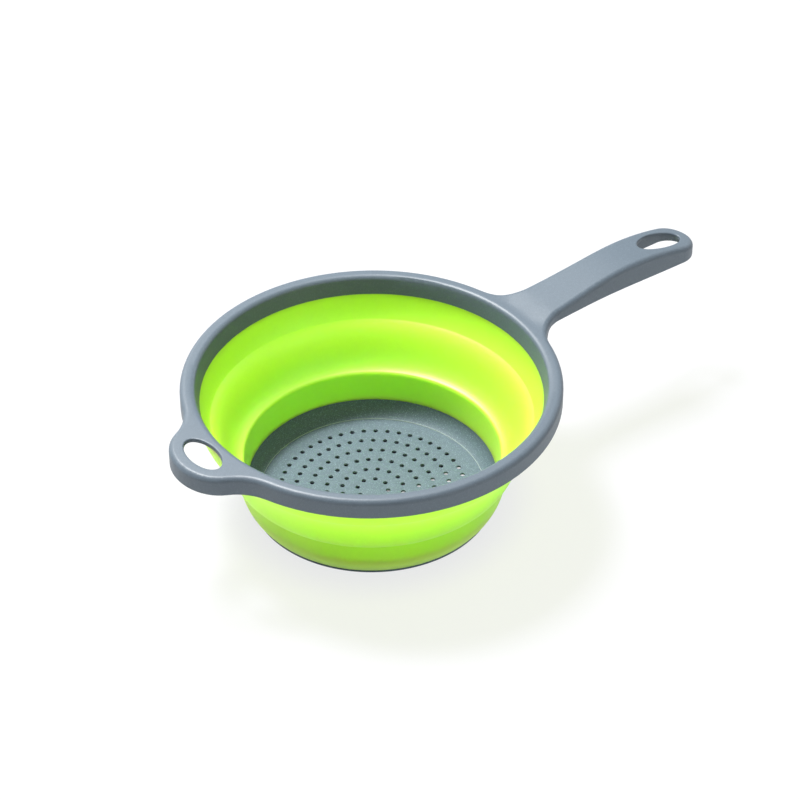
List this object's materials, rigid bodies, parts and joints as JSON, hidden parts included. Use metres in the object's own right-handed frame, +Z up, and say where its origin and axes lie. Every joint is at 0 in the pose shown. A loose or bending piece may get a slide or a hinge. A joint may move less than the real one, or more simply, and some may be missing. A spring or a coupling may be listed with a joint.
{
  "type": "collapsible colander",
  "caption": "Round strainer with a stiff rim, a long handle, a helper tab, a folding flexible wall and a perforated base.",
  "frame": {"origin": "centre of the flat underside of the base, on the bowl's axis", "axes": "+Z up along the bowl's axis, +X along the handle, -X towards the helper tab"},
  "size_m": [0.3381, 0.201, 0.0865],
  "materials": {
    "rim_plastic": "fine-grained satin moulding",
    "wall_elastomer": "smooth silky flexible moulding",
    "base_plastic": "speckled satin moulding"
  },
  "bodies": {
    "base_body": {"base_ring": "base_plastic", "strainer_disc": "base_plastic", "wall_lower_band": "wall_elastomer", "wall_lip_fold": "wall_elastomer", "wall_shoulder": "wall_elastomer"},
    "rim_body": {"rim_handle_frame": "rim_plastic", "wall_top_band": "wall_elastomer", "wall_crease_fold": "wall_elastomer"}
  },
  "joints": [
    {"name": "collapse", "type": "slide", "parent": "base_body", "child": "rim_body", "axis": [0, 0, -1], "range_m": [0, 0.046], "deforming": ["wall_crease_fold", "wall_shoulder", "wall_lip_fold"]}
  ]
}
